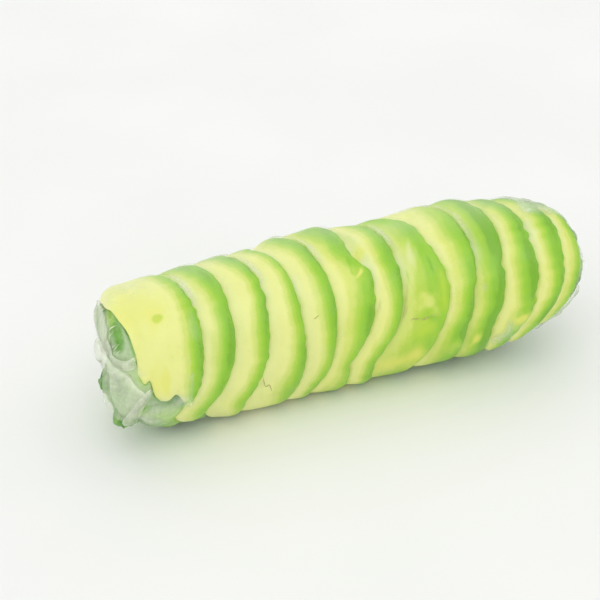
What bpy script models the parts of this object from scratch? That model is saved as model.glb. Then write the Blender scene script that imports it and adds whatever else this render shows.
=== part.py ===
"""A rice paper roll: avocado slices shingled over lettuce and rice noodles, wrapped in rice paper.

The roll lies along X with its shown side towards -Y and rests on Z = 0. The origin is at the middle of
its base. A place on the roll is given by its run, the distance along a meridian from the middle of the
roll, its angle round the roll, from 0 at the front to 90 at the top, and its depth below the surface.
"""

import math

import bpy

# The roll's overall form, in metres
HALF_LENGTH = 0.082
RADIUS = 0.025
RADIUS_LEAN = 0.0007       # more radius towards the right end, less towards the left
RADIUS_TAPER = 0.0004      # less radius at both ends
BOW = 0.008                # the ends lie this far in front of the middle
FLAT_DEPTH = 0.0012        # how far the base is flattened
END_LIFT = 0.004           # how far the right end rises off the base
LIFT_START = 0.020

# The rounded ends: cap length at the top, its extra length underneath, and how square the cap is there
LEFT_END = {"cap": 0.009, "under": 0.010, "power": 2.6, "low_power": 2.0, "apex": (-0.004, 0.007)}
RIGHT_END = {"cap": 0.024, "under": 0.016, "power": 2.3, "low_power": 1.7, "apex": (0.0, 0.0)}
CAP_RUN = 0.5              # a meridian is longer than the roll by this share of the cap

# Layers, from the outside in
PAPER = 0.0006
GAP = 0.0003
SLICE = 0.0022
PAPER_DIP = 0.0011         # how far the paper sinks behind a slice's rim
PAPER_SINKS = 0.22         # the share of the way to the next rim over which it sinks
PLEATS = 6                 # folds where the paper is tucked in round the left end
PLEAT_DEPTH = 0.0007
PLEAT_REACH = 0.004
LEAF_UNDER_SLICES = 0.0070
LEAF_UNDER_FIRST = 0.0041
LEAF_DROP = (0.12, 0.30)   # where under the first slice the lettuce starts to drop, and over what share
LEAF_COVERED = (0.004, 0.012)   # the same from the left opening and from the right pole, in metres
LEAF_RUFFLE = 0.0005
LEAF_RUFFLES = 5           # ruffles round the roll
LEAF_RUFFLE_LENGTH = 0.044
LEAF_INNER = 0.0102        # how deep the lettuce reaches at the side
LEAF_END = 0.0036          # and at the ends
NOODLE_GAP = 0.0006

RIBS = 24                  # points round the roll
RIB_ANGLE = 360 / RIBS
# Rings of points, as shares of the way from one line round the roll to the next
LEFT_RINGS = (0, 0.25, 0.5, 0.75)
FIRST_SLICE_RINGS = (0, 0.15, 0.5)
SLICE_RINGS = (0, PAPER_SINKS, 0.6)
RIGHT_RINGS = (0.15, 0.38, 0.6, 0.8, 0.93, 1)
NOODLE_LEFT_RINGS = (0.25, 0.6)
NOODLE_STEP = 3            # the noodles take every third of the lettuce's rings, but
NOODLE_FINE_RINGS = 9      # all of these last ones

# A slice's outline across its width: the place from the neighbour's rim at 0 to its own at 1, and the
# share of the thickness
SLICE_OUTLINE = ((0.0, 0.0), (0.9, 0.0), (1.0, 0.25), (1.0, 0.8), (0.0, 1.0))
SLICE_LAP = 0.4            # share of a slice's spacing that lies hidden under its neighbour
TIP_WIDTH = 0.7            # a slice's width at its ends, against its middle
TIP_SHIFT = 0.15
TIP_THICKNESS = 0.45
TIP_DEPTH = 0.25

OPENING_RUN = -0.0835      # where the paper's opening in the left end begins
LEAF_OPENING_RUN = -0.0805

# Each slice: the place of its rim at its crest, how far the rim has swept back 100 degrees away from the
# crest, the crest's angle, and the slice's lower and upper ends counted in ribs from the underside
SLICES = (
    (-0.0534, 0.0160, 50, 6, 15),
    (-0.0432, 0.0150, 56, 4, 15),
    (-0.0318, 0.0150, 51, 3, 15),
    (-0.0212, 0.0100, 25, 2, 15),
    (-0.0103, 0.0115, 40, 2, 15),
    (0.0037, 0.0150, 64, 2, 15),
    (0.0134, 0.0165, 62, 2, 15),
    (0.0271, 0.0140, 45, 2, 15),
    (0.0385, 0.0095, 72, 3, 15),
    (0.0479, 0.0090, 74, 3, 15),
    (0.0576, 0.0120, 56, 3, 15),
    (0.0664, 0.0150, 48, 3, 14),
    (0.0752, 0.0200, 42, 4, 12),
)
SWEEP_ANGLE = 100
SWEEP_END = 80             # a rim runs on straight from this many degrees past its crest
LEFT_EDGE = -0.0750        # the first slice's outer edge
LEFT_EDGE_SWEEP = 0.0090   # how far that edge runs in on the underside
LEFT_EDGE_FRONT = 45       # the angles at which it starts to run in
LEFT_EDGE_BACK = 215
LEFT_EDGE_TURN = 45        # and how far on it has run in
FIRST_RIB = 2              # slices lie between these ribs
LAST_RIB = 15


def smooth(share):
    """A soft step from 0 to 1."""
    share = min(max(share, 0.0), 1.0)
    return share * share * (3 - 2 * share)


def girth(x):
    """The roll's radius at a place along its length."""
    share = x / HALF_LENGTH
    return RADIUS + RADIUS_LEAN * share - RADIUS_TAPER * share * share


def on_roll(run, angle, depth, end_depth=None):
    """The point at a run and an angle in degrees, a depth below the side and another below the ends."""
    end_depth = depth if end_depth is None else end_depth
    end = LEFT_END if run < 0 else RIGHT_END
    side = math.copysign(1.0, run)
    up = math.sin(math.radians(angle))
    down = (1 - up) / 2
    cap = end["cap"] + end["under"] * down
    power = end["power"] + (end["low_power"] - end["power"]) * down
    straight = HALF_LENGTH - cap
    reach = HALF_LENGTH + CAP_RUN * end["cap"]
    past = min(max(abs(run) - straight, 0.0) / (reach - straight), 1.0)
    bulge = math.sin(past * math.pi / 2) ** (2 / power)
    shrink = max(math.cos(past * math.pi / 2), 0.0) ** (2 / power)
    x = side * (min(abs(run), straight) + (cap - end_depth) * bulge)
    radius = (girth(side * min(abs(run), straight)) - depth) * shrink
    apex_y, apex_z = end["apex"]
    lift = END_LIFT * smooth((x - LIFT_START) / (HALF_LENGTH - LIFT_START))
    y = -BOW * (x / HALF_LENGTH) ** 2 + apex_y * (1 - shrink) - radius * math.cos(math.radians(angle))
    z = girth(x) - FLAT_DEPTH + lift + apex_z * (1 - shrink) + radius * up
    return x, y, max(z, depth)


def rib_angle(rib):
    return rib * RIB_ANGLE - 90


def turned(angle):
    """The angle between -90 and 270, so that the back counts on from the top."""
    return (angle + 90) % 360 - 90


def rim(number, angle):
    """The run of a slice's rim. Number 0 is the first slice's outer edge."""
    angle = turned(angle)
    if number == 0:
        below = max(LEFT_EDGE_FRONT - angle, angle - LEFT_EDGE_BACK, 0.0) / LEFT_EDGE_TURN
        return LEFT_EDGE + LEFT_EDGE_SWEEP * min(below, 1.0) ** 2
    place, sweep, crest = SLICES[number - 1][:3]
    away = min(abs(angle - crest), SWEEP_END) / SWEEP_ANGLE
    return place - sweep * away * away


def slice_zone(angle):
    """1 where slices lie under the paper and 0 round the back and the underside."""
    angle = turned(angle)
    below = smooth((angle - rib_angle(FIRST_RIB)) / RIB_ANGLE + 1)
    above = smooth((rib_angle(LAST_RIB) - angle) / RIB_ANGLE + 1)
    return below * above


def slice_depth(number, share):
    """How deep a slice's outer face lies: 1 is at its rim, 0 at its neighbour's rim, less is under it."""
    drop = GAP if number == 1 else SLICE + GAP
    return PAPER + GAP + drop * (1 - share)


def slice_run(number, share, angle):
    """The run of a place across a slice, measured as in slice_depth."""
    near, far = rim(number - 1, angle), rim(number, angle)
    if share >= 0:
        return near + (far - near) * share
    return near + (near - rim(number - 2, angle)) * share


def make_object(name, points, faces, material):
    mesh = bpy.data.meshes.new(name)
    mesh.from_pydata(points, [], faces)
    mesh.materials.append(material)
    mesh.shade_smooth()
    mesh.set_sharp_from_angle(angle=math.radians(50))
    part = bpy.data.objects.new(name, mesh)
    bpy.context.scene.collection.objects.link(part)
    return part


def make_material(name, colour, roughness, transmission=0.0):
    material = bpy.data.materials.new(name)
    material.use_nodes = True
    shader = material.node_tree.nodes["Principled BSDF"]
    shader.inputs["Base Color"].default_value = (*colour, 1.0)
    shader.inputs["Roughness"].default_value = roughness
    shader.inputs["Metallic"].default_value = 0.0
    shader.inputs["Transmission Weight"].default_value = transmission
    return material


def bridge(first, second, count):
    """Quads between two rings of count points that start at these indices, facing away from the axis."""
    return [(first + i, second + i, second + (i + 1) % count, first + (i + 1) % count)
            for i in range(count)]


def fan(ring, pole, count, forward):
    """Triangles between a ring and a pole, the pole lying forward along the roll or behind."""
    pairs = [(ring + i, ring + (i + 1) % count) for i in range(count)]
    return [(a, pole, b) if forward else (b, pole, a) for a, b in pairs]


def make_shell(name, runs, outer_depth, inner_depth, material):
    """A skin that is open at the left end. Each run is a function of the angle, the last one the pole."""
    points, faces = [], []
    rings = len(runs) - 1
    for depths, inside in ((outer_depth, False), (inner_depth, True)):
        start = len(points)
        for place in runs[:-1]:
            for rib in range(RIBS):
                angle = rib_angle(rib)
                run = place(angle)
                points.append(on_roll(run, angle, *depths(run, angle)))
        pole = runs[-1](0)
        points.append(on_roll(pole, 0, *depths(pole, 0)))
        wall = fan(start + (rings - 1) * RIBS, start + rings * RIBS, RIBS, True)
        for ring in range(rings - 1):
            wall += bridge(start + ring * RIBS, start + (ring + 1) * RIBS, RIBS)
        faces += [face[::-1] for face in wall] if inside else wall
    faces += bridge(start, 0, RIBS)
    return make_object(name, points, faces, material)


def between(start, end, share):
    """A run between two runs that may vary round the roll."""
    return lambda angle: start(angle) + (end(angle) - start(angle)) * share


def fixed(run):
    return lambda angle: run


def rim_line(number):
    return lambda angle: rim(number, angle)


def end_reach(end):
    return HALF_LENGTH + CAP_RUN * end["cap"]


def paper_runs():
    """The rings of the paper: three to a slice, so that each rim shows as a step, and more at the ends."""
    opening, pole = fixed(OPENING_RUN), fixed(end_reach(RIGHT_END))
    last = rim_line(len(SLICES))
    runs = [between(opening, rim_line(0), share) for share in LEFT_RINGS]
    for number in range(len(SLICES)):
        shares = FIRST_SLICE_RINGS if number == 0 else SLICE_RINGS
        runs += [between(rim_line(number), rim_line(number + 1), share) for share in shares]
    return runs + [between(last, pole, share) for share in (0,) + RIGHT_RINGS]


def leaf_runs():
    """The rings of the lettuce, one to each rim, with more under the first slice and at the right end."""
    opening, pole = fixed(LEAF_OPENING_RUN), fixed(end_reach(RIGHT_END))
    last = rim_line(len(SLICES))
    runs = [opening] + [between(rim_line(0), rim_line(1), share) for share in FIRST_SLICE_RINGS]
    runs += [rim_line(number) for number in range(1, len(SLICES) + 1)]
    return runs + [between(last, pole, share) for share in RIGHT_RINGS]


def pleat(run, angle):
    """How deep the tucked paper's folds are at a place on the left end."""
    wave = (1 - math.cos(math.radians(PLEATS * angle))) / 2
    return PLEAT_DEPTH * wave * smooth((rim(0, angle) - run) / PLEAT_REACH)


def paper_dip(run, angle):
    """The paper sinks behind each rim and comes up again to the next one, and is pleated at the left end."""
    for number in range(1, len(SLICES) + 1):
        near, far = rim(number - 1, angle), rim(number, angle)
        if near <= run < far and number > 1:
            share = (run - near) / (far - near)
            return PAPER_DIP * slice_zone(angle) * smooth(share / PAPER_SINKS) * (1 - share)
    return pleat(run, angle)


def paper_outer(run, angle):
    return (paper_dip(run, angle),)


def paper_inner(run, angle):
    return (paper_dip(run, angle) + PAPER,)


def leaf_outer(run, angle):
    """The lettuce fills the roll out to the paper, and lies deeper where the slices are."""
    turns = LEAF_RUFFLES * angle / 360 + run / LEAF_RUFFLE_LENGTH
    ruffle = LEAF_RUFFLE * (1 + math.sin(2 * math.pi * turns)) / 2
    end = smooth((rim(0, angle) - run) / PLEAT_REACH + 1)
    clear = PAPER + GAP + ruffle + PLEAT_DEPTH * end
    first_share = (run - rim(0, angle)) / (rim(1, angle) - rim(0, angle))
    after_first = smooth((first_share - LEAF_DROP[0]) / LEAF_DROP[1])
    deep = LEAF_UNDER_FIRST + (LEAF_UNDER_SLICES - LEAF_UNDER_FIRST) * after_first
    covered = smooth((run - OPENING_RUN) / LEAF_COVERED[0])
    covered *= smooth((end_reach(RIGHT_END) - run) / LEAF_COVERED[1])
    return (clear + (deep - clear) * slice_zone(angle) * covered,)


def leaf_inner(run, angle):
    return LEAF_INNER, LEAF_END


def make_slice(number, material):
    """One curved slab of avocado, with a rounded rim and thinner ends."""
    lower, upper = SLICES[number - 1][3:]
    outline = SLICE_OUTLINE
    if number > 1:
        outline = ((-SLICE_LAP, 0.0),) + outline + ((-SLICE_LAP, 1.0),)
    points = []
    for rib in range(lower, upper + 1):
        at_tip = rib in (lower, upper)
        for share, into in outline:
            if at_tip:
                share = TIP_SHIFT + TIP_WIDTH * share
                into = TIP_DEPTH + TIP_THICKNESS * into
            angle = rib_angle(rib)
            depth = slice_depth(number, share) + SLICE * into
            points.append(on_roll(slice_run(number, share, angle), angle, depth))
    corners, rings = len(outline), upper - lower + 1
    faces = []
    for ring in range(rings - 1):
        for i in range(corners):
            j = (i + 1) % corners
            a, b = ring * corners, (ring + 1) * corners
            faces.append((a + i, a + j, b + j, b + i))
    faces.append(tuple(range(corners))[::-1])
    faces.append(tuple(range((rings - 1) * corners, rings * corners)))
    return make_object(f"avocado_{number:02d}", points, faces, material)


def make_noodles(material):
    """The bundle of noodles in the middle, shown as its outer form."""
    depths = LEAF_INNER + NOODLE_GAP, LEAF_END + NOODLE_GAP
    left, opening = -end_reach(LEFT_END), fixed(LEAF_OPENING_RUN)
    lining = leaf_runs()
    rings = [between(fixed(left), opening, share) for share in NOODLE_LEFT_RINGS]
    rings += lining[:-NOODLE_FINE_RINGS:NOODLE_STEP] + lining[-NOODLE_FINE_RINGS:-1]
    points = [on_roll(left, 0, *depths)]
    for place in rings:
        points += [on_roll(place(rib_angle(rib)), rib_angle(rib), *depths) for rib in range(RIBS)]
    points.append(on_roll(end_reach(RIGHT_END), 0, *depths))
    faces = fan(1, 0, RIBS, False)
    for ring in range(len(rings) - 1):
        faces += bridge(1 + ring * RIBS, 1 + (ring + 1) * RIBS, RIBS)
    faces += fan(1 + (len(rings) - 1) * RIBS, len(points) - 1, RIBS, True)
    return make_object("rice_noodles", points, faces, material)


def centre_over_base(parts):
    """Moves every part alike, so that the middle of the whole's base is at the origin."""
    corners = [vertex.co for part in parts for vertex in part.data.vertices]
    for axis in (0, 1):
        places = [corner[axis] for corner in corners]
        middle = (min(places) + max(places)) / 2
        for part in parts:
            part.location[axis] = -middle


def main():
    for old in list(bpy.data.objects):
        bpy.data.objects.remove(old, do_unlink=True)
    paper = make_material("rice_paper", (0.90, 0.93, 0.84), 0.25, 0.6)
    avocado = make_material("avocado", (0.78, 0.84, 0.32), 0.45)
    lettuce = make_material("lettuce", (0.24, 0.46, 0.12), 0.50)
    noodle = make_material("rice_noodles", (0.92, 0.92, 0.86), 0.40)
    parts = [make_slice(number, avocado) for number in range(1, len(SLICES) + 1)]
    parts.append(make_shell("lettuce", leaf_runs(), leaf_outer, leaf_inner, lettuce))
    parts.append(make_noodles(noodle))
    parts.append(make_shell("rice_paper", paper_runs(), paper_outer, paper_inner, paper))
    centre_over_base(parts)


main()
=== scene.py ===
"""Looks of the rice paper roll: avocado slices shingled under clear rice paper, over lettuce and noodles.

A place on the roll is given as in the CAD part: by its run, the distance along a meridian from the middle,
its angle round the roll, from 0 at the front to 90 at the top, and its depth below the roll's surface.
Lengths are in metres and angles in degrees.
"""

import math

import bpy
import numpy as np
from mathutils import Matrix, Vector


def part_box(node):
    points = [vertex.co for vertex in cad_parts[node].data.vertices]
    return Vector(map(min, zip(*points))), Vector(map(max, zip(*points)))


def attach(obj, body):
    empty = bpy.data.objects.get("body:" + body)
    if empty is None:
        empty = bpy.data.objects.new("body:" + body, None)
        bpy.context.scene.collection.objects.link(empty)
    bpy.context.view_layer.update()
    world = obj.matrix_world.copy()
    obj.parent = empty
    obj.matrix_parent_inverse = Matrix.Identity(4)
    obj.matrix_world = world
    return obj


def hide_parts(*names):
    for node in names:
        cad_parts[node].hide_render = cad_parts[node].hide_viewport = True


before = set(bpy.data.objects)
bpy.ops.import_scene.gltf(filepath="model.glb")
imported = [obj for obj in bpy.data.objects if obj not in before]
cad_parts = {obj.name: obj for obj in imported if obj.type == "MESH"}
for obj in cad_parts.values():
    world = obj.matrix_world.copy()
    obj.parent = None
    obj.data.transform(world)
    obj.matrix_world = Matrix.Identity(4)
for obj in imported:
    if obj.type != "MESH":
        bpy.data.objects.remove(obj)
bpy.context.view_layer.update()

MM = 0.001

# The roll's form, as in the CAD part
HALF_LENGTH = 0.082
RADIUS = 0.025
RADIUS_LEAN = 0.0007       # how much thicker the right end is than the middle
RADIUS_TAPER = 0.0004      # how much thinner both ends are
BOW = 0.008                # how far forward the ends lie
FLAT_DEPTH = 0.0012        # how far the roll is pressed flat underneath
END_LIFT = 0.004           # how far the right end is lifted, from LIFT_START on
LIFT_START = 0.020
# Each end: how long its rounding is on top, how much longer underneath, how square it is on top and
# underneath, and how far its tip lies to the back and up
LEFT_END = {"cap": 0.009, "under": 0.010, "power": 2.6, "low_power": 2.0, "back": -0.004, "up": 0.007}
RIGHT_END = {"cap": 0.024, "under": 0.016, "power": 2.3, "low_power": 1.7, "back": 0.0, "up": 0.0}
CAP_RUN = 0.5              # how far the run goes on past the half length, as a share of the rounding
LEFT_POLE = -(HALF_LENGTH + CAP_RUN * LEFT_END["cap"])
RIGHT_POLE = HALF_LENGTH + CAP_RUN * RIGHT_END["cap"]

# Each slice: the place of its rim at its crest, how far the rim has swept back 100 degrees away from the
# crest, the crest's angle, and the angles of the slice's lower and upper tips
SLICES = (
    (-0.0534, 0.0160, 50, -12, 142),
    (-0.0432, 0.0150, 56, -44, 140),
    (-0.0318, 0.0150, 51, -60, 146),
    (-0.0212, 0.0100, 25, -72, 139),
    (-0.0103, 0.0115, 40, -74, 148),
    (0.0037, 0.0150, 64, -72, 141),
    (0.0134, 0.0165, 62, -74, 138),
    (0.0271, 0.0140, 45, -70, 147),
    (0.0385, 0.0095, 72, -62, 140),
    (0.0479, 0.0090, 74, -58, 137),
    (0.0576, 0.0120, 56, -50, 144),
    (0.0664, 0.0150, 48, -44, 128),
    (0.0752, 0.0200, 42, -30, 92),
)

# Layers
CLING = 0.00020            # how far off the food the paper lies
SINK = 0.0019              # how much deeper a slice's face lies at its neighbour's rim than at its own
BELLY = 0.00025            # how far it stands out in between
FIRST_FALL = 0.0007        # how much deeper the first slice lies at its outer edge
THICK = 0.0021
LAP = 0.22                 # share of a slice that is hidden under its neighbour
ROUND = 0.0019             # how far from the rim a slice starts to round over
LEAF_DEPTH = 0.0012        # how deep the leaf lies in the open, and how deep under the slices
LEAF_UNDER = 0.0052


def smooth(share):
    """A soft step over shares from 0 to 1."""
    share = np.clip(share, 0.0, 1.0)
    return share * share * (3 - 2 * share)


def step(value, start, over):
    """A soft step from 0 at the start to 1 this far past it, or this far before it where over is negative."""
    return smooth((value - start) / over)


def bell(value, centre, width):
    """1 at the centre, falling away softly over about this width on both sides."""
    return np.exp(-((value - centre) / width) ** 2)


def girth(x):
    """The roll's radius at a place along it."""
    share = x / HALF_LENGTH
    return RADIUS + RADIUS_LEAN * share - RADIUS_TAPER * share * share


def swell(run, angle):
    """How far the loose paper and the food in it stand out past the CAD part. Each bulge has its height, the
    runs at which it comes and goes, and the angles at which it lies."""
    left_end = 0.0015 * step(run, -0.070, -0.009) * step(angle, 5, 45) * step(angle, 190, -50)
    low_corner = 0.0034 * step(run, -0.068, -0.010) * step(run, LEFT_POLE, 0.006) * bell(angle, -20, 26)
    low_front = 0.0018 * step(run, -0.060, 0.020) * step(run, 0.025, -0.030) * bell(angle, -52, 22)
    over_top = 0.0020 - 0.0018 * bell(run, 0.0085, 0.0085) + 0.0009 * bell(run, 0.040, 0.012)
    over_top = over_top * step(run, -0.034, 0.020) * step(run, 0.058, -0.018) * bell(angle, 124, 30)
    return left_end + low_corner + low_front + over_top


def on_roll(run, angle, depth):
    """The points at these runs, angles and depths, as an array with a last axis of 3."""
    return on_plain_roll(run, angle, depth - swell(run, angle)) + MOVE


def on_plain_roll(run, angle, depth):
    """The same without what stands out past the CAD part, and where that part's own sizes put it."""
    run, angle, depth = np.broadcast_arrays(run, angle, depth)
    turn = np.radians(angle)
    side = np.where(run < 0, -1.0, 1.0)
    end = {key: np.where(run < 0, LEFT_END[key], RIGHT_END[key]) for key in LEFT_END}
    down = (1 - np.sin(turn)) / 2
    cap = end["cap"] + end["under"] * down
    power = end["power"] + (end["low_power"] - end["power"]) * down
    straight = HALF_LENGTH - cap
    reach = HALF_LENGTH + CAP_RUN * end["cap"]
    past = np.clip((np.abs(run) - straight) / (reach - straight), 0.0, 1.0)
    bulge = np.sin(past * math.pi / 2) ** (2 / power)
    shrink = np.maximum(np.cos(past * math.pi / 2), 0.0) ** (2 / power)
    along = np.minimum(np.abs(run), straight)
    x = side * (along + (cap - depth) * bulge)
    radius = (girth(side * along) - depth) * shrink
    lift = END_LIFT * step(x, LIFT_START, HALF_LENGTH - LIFT_START)
    y = -BOW * (x / HALF_LENGTH) ** 2 + end["back"] * (1 - shrink) - radius * np.cos(turn)
    z = girth(x) - FLAT_DEPTH + lift + end["up"] * (1 - shrink) + radius * np.sin(turn)
    return np.stack([x, y, np.maximum(z, np.maximum(depth, 0))], -1)


def centring():
    """What moves that surface onto the CAD part's paper, whose box is centred on the origin."""
    runs = np.linspace(LEFT_POLE, RIGHT_POLE, 400)[:, None]
    points = on_plain_roll(runs, np.arange(-90, 270, 15)[None, :], 0.0).reshape(-1, 3)
    low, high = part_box("rice_paper")
    middle = (points.min(0) + points.max(0)) / 2
    return np.array([(low[0] + high[0]) / 2 - middle[0], (low[1] + high[1]) / 2 - middle[1], 0.0])


MOVE = centring()


def off_pole(run):
    """0 at the roll's two poles and 1 a little way from them."""
    return step(run, LEFT_POLE, 0.008) * step(run, RIGHT_POLE, -0.014)


def uneven(seed, size, u, v, waves=14):
    """Smooth noise of about -1 to 1, with bumps about this size across. u and v are in the size's unit."""
    draw = np.random.default_rng(seed)
    total = 0.0
    for _ in range(waves):
        turn, phase = draw.uniform(0, 2 * math.pi, 2)
        rate = 2 * math.pi / (size * draw.uniform(1.3, 2.9))
        total = total + np.sin((u * math.cos(turn) + v * math.sin(turn)) * rate + phase)
    return total / math.sqrt(waves)


def arc(angle):
    """The distance round the roll at an angle."""
    return np.radians(angle) * RADIUS


def curve_through(places, count=24):
    """Points on a smooth curve through a few (run, angle) places."""
    places = np.array(places, float)
    padded = np.concatenate([2 * places[:1] - places[1:2], places, 2 * places[-1:] - places[-2:-1]])
    line = []
    for start in range(len(places) - 1):
        a, b, c, d = padded[start:start + 4]
        for t in np.linspace(0, 1, count, endpoint=False):
            line.append(0.5 * (2 * b + (c - a) * t + (2 * a - 5 * b + 4 * c - d) * t ** 2
                               + (3 * b - a - 3 * c + d) * t ** 3))
    line.append(places[-1])
    return np.array(line)


def drawn_out(places, between, count):
    """This many places along a smooth curve through a few, worked out at so many points between each two."""
    line = curve_through(places, between)
    at = np.linspace(0, len(line) - 1, count)
    numbers = np.arange(len(line))
    return np.stack([np.interp(at, numbers, line[:, axis]) for axis in (0, 1)], -1)


def end_place(front, up, pole):
    """The run and angle of a place on an end, from its distances in run from that pole, in millimetres."""
    return pole - math.copysign(1, pole) * np.hypot(front, up) * MM, np.degrees(np.arctan2(up, front))


# ---- meshes ----

def make_piece(name, points, faces, material, values=None, replaced=()):
    """An object of its own from points and faces, with named numbers per point for its material."""
    mesh = bpy.data.meshes.new(name)
    mesh.from_pydata(np.asarray(points).tolist(), [], faces)
    mesh.materials.append(material)
    mesh.shade_smooth()
    for key, value in (values or {}).items():
        layer = mesh.attributes.new(key, "FLOAT", "POINT")
        layer.data.foreach_set("value", np.ascontiguousarray(value, np.float32).ravel())
    mesh.update()
    piece = bpy.data.objects.new(name, mesh)
    bpy.context.scene.collection.objects.link(piece)
    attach(piece, "root")
    if replaced:
        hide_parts(*replaced)
    return piece


def grid_faces(index, flip=False):
    """Quads over a two-dimensional array of point numbers."""
    a, b, c, d = index[:-1, :-1], index[1:, :-1], index[1:, 1:], index[:-1, 1:]
    corners = (a, d, c, b) if flip else (a, b, c, d)
    quads = np.stack(corners, -1).reshape(-1, 4)
    return quads.tolist()


def slab(top, bottom):
    """Points and faces of a closed slab from two grids of points that share their outline."""
    rows, columns = top.shape[:2]
    over = np.arange(rows * columns).reshape(rows, columns)
    inside = np.zeros((rows, columns), bool)
    inside[1:-1, 1:-1] = True
    under = over.copy()
    under[inside] = rows * columns + np.arange(inside.sum())
    points = np.concatenate([top.reshape(-1, 3), bottom[inside]])
    return points, grid_faces(over, flip=True) + grid_faces(under), inside


def rolled_slab(run, angle, depth, half):
    """A closed slab on the roll, this far to both sides of a depth."""
    return slab(on_roll(run, angle, depth - half), on_roll(run, angle, depth + half))


def slab_values(values, inside):
    """Numbers for both faces of a slab, given as grids over its top."""
    return {key: np.concatenate([value.ravel(), value[inside]]) for key, value in values.items()}


def balloon(points, poles):
    """Points and faces of a closed skin from rings of points and its two poles."""
    rings, count = points.shape[:2]
    index = np.arange(rings * count).reshape(rings, count)
    around = np.concatenate([index, index[:, :1]], 1)
    faces = grid_faces(around)
    left, right = rings * count, rings * count + 1
    for i in range(count):
        j = (i + 1) % count
        faces.append((left, index[0, i], index[0, j]))
        faces.append((index[-1, i], right, index[-1, j]))
    return np.concatenate([points.reshape(-1, 3), np.array(poles)]), faces


# ---- materials ----

def srgb(red, green, blue):
    """A colour given as 0-255 screen values, for a shader."""
    parts = [value / 255 for value in (red, green, blue)]
    return tuple(p / 12.92 if p <= 0.04045 else ((p + 0.055) / 1.055) ** 2.4 for p in parts) + (1.0,)


def node(tree, kind, **settings):
    """A new node with these settings."""
    made = tree.nodes.new(kind)
    for key, value in settings.items():
        setattr(made, key, value)
    return made


def feed(socket, value):
    """Sets a socket to a value or links it to another socket."""
    if isinstance(value, bpy.types.NodeSocket):
        socket.id_data.links.new(value, socket)
    else:
        socket.default_value = value


def calc(tree, operation, first, second, clamp=False):
    """A sum, product or the like of two numbers."""
    made = node(tree, "ShaderNodeMath", operation=operation, use_clamp=clamp)
    feed(made.inputs[0], first)
    feed(made.inputs[1], second)
    return made.outputs[0]


def painted(tree, name):
    """The number that the mesh carries under this name."""
    return node(tree, "ShaderNodeAttribute", attribute_name=name).outputs["Fac"]


def noise(tree, size, detail=3.0, stretch=(1.0, 1.0, 1.0), place=None):
    """Noise from 0 to 1 with bumps of about this size, at the object's own points or at a given place."""
    if place is None:
        place = node(tree, "ShaderNodeTexCoord").outputs["Object"]
    scaled = node(tree, "ShaderNodeVectorMath", operation="MULTIPLY")
    feed(scaled.inputs[0], place)
    scaled.inputs[1].default_value = stretch
    made = node(tree, "ShaderNodeTexNoise")
    feed(made.inputs["Vector"], scaled.outputs[0])
    made.inputs["Scale"].default_value = 0.5 / size
    made.inputs["Detail"].default_value = detail
    return made.outputs["Fac"]


def spread(tree, value, low, high, to_low=0.0, to_high=1.0):
    """A number carried softly from one range to another."""
    made = node(tree, "ShaderNodeMapRange", interpolation_type="SMOOTHSTEP")
    feed(made.inputs["Value"], value)
    made.inputs["From Min"].default_value = low
    made.inputs["From Max"].default_value = high
    made.inputs["To Min"].default_value = to_low
    made.inputs["To Max"].default_value = to_high
    return made.outputs["Result"]


def ramp(tree, value, stops):
    """A colour ramp through (position, colour) stops."""
    made = node(tree, "ShaderNodeValToRGB")
    made.color_ramp.interpolation = "EASE"
    line = made.color_ramp.elements
    while len(line) < len(stops):
        line.new(0.5)
    for element, (position, colour) in zip(line, stops):
        element.position = position
        element.color = colour
    feed(made.inputs["Fac"], value)
    return made.outputs["Color"]


def blend(tree, share, first, second):
    """A colour between two, with this share of the second."""
    made = node(tree, "ShaderNodeMix", data_type="RGBA", blend_type="MIX")
    feed(made.inputs["Factor"], share)
    colours = [socket for socket in made.inputs if socket.type == "RGBA"]
    feed(colours[0], first)
    feed(colours[1], second)
    return next(socket for socket in made.outputs if socket.type == "RGBA")


def bump(tree, height, distance):
    """The direction of a surface with fine relief of this height."""
    made = node(tree, "ShaderNodeBump")
    made.inputs["Strength"].default_value = 1.0
    made.inputs["Distance"].default_value = distance
    feed(made.inputs["Height"], height)
    return made.outputs["Normal"]


def mixed(tree, share, first, second):
    """A shader between two, with this share of the second."""
    made = node(tree, "ShaderNodeMixShader")
    feed(made.inputs[0], share)
    tree.links.new(first.outputs[0], made.inputs[1])
    tree.links.new(second.outputs[0], made.inputs[2])
    return made


def new_material(name):
    """A material, its node tree and its main shader."""
    material = bpy.data.materials.new(name)
    material.use_nodes = True
    tree = material.node_tree
    return material, tree, tree.nodes["Principled BSDF"]


def settle(shader, **values):
    """Plain numbers on a shader's sockets, by name with _ for a space."""
    for key, value in values.items():
        shader.inputs[key.replace("_", " ")].default_value = value


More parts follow.
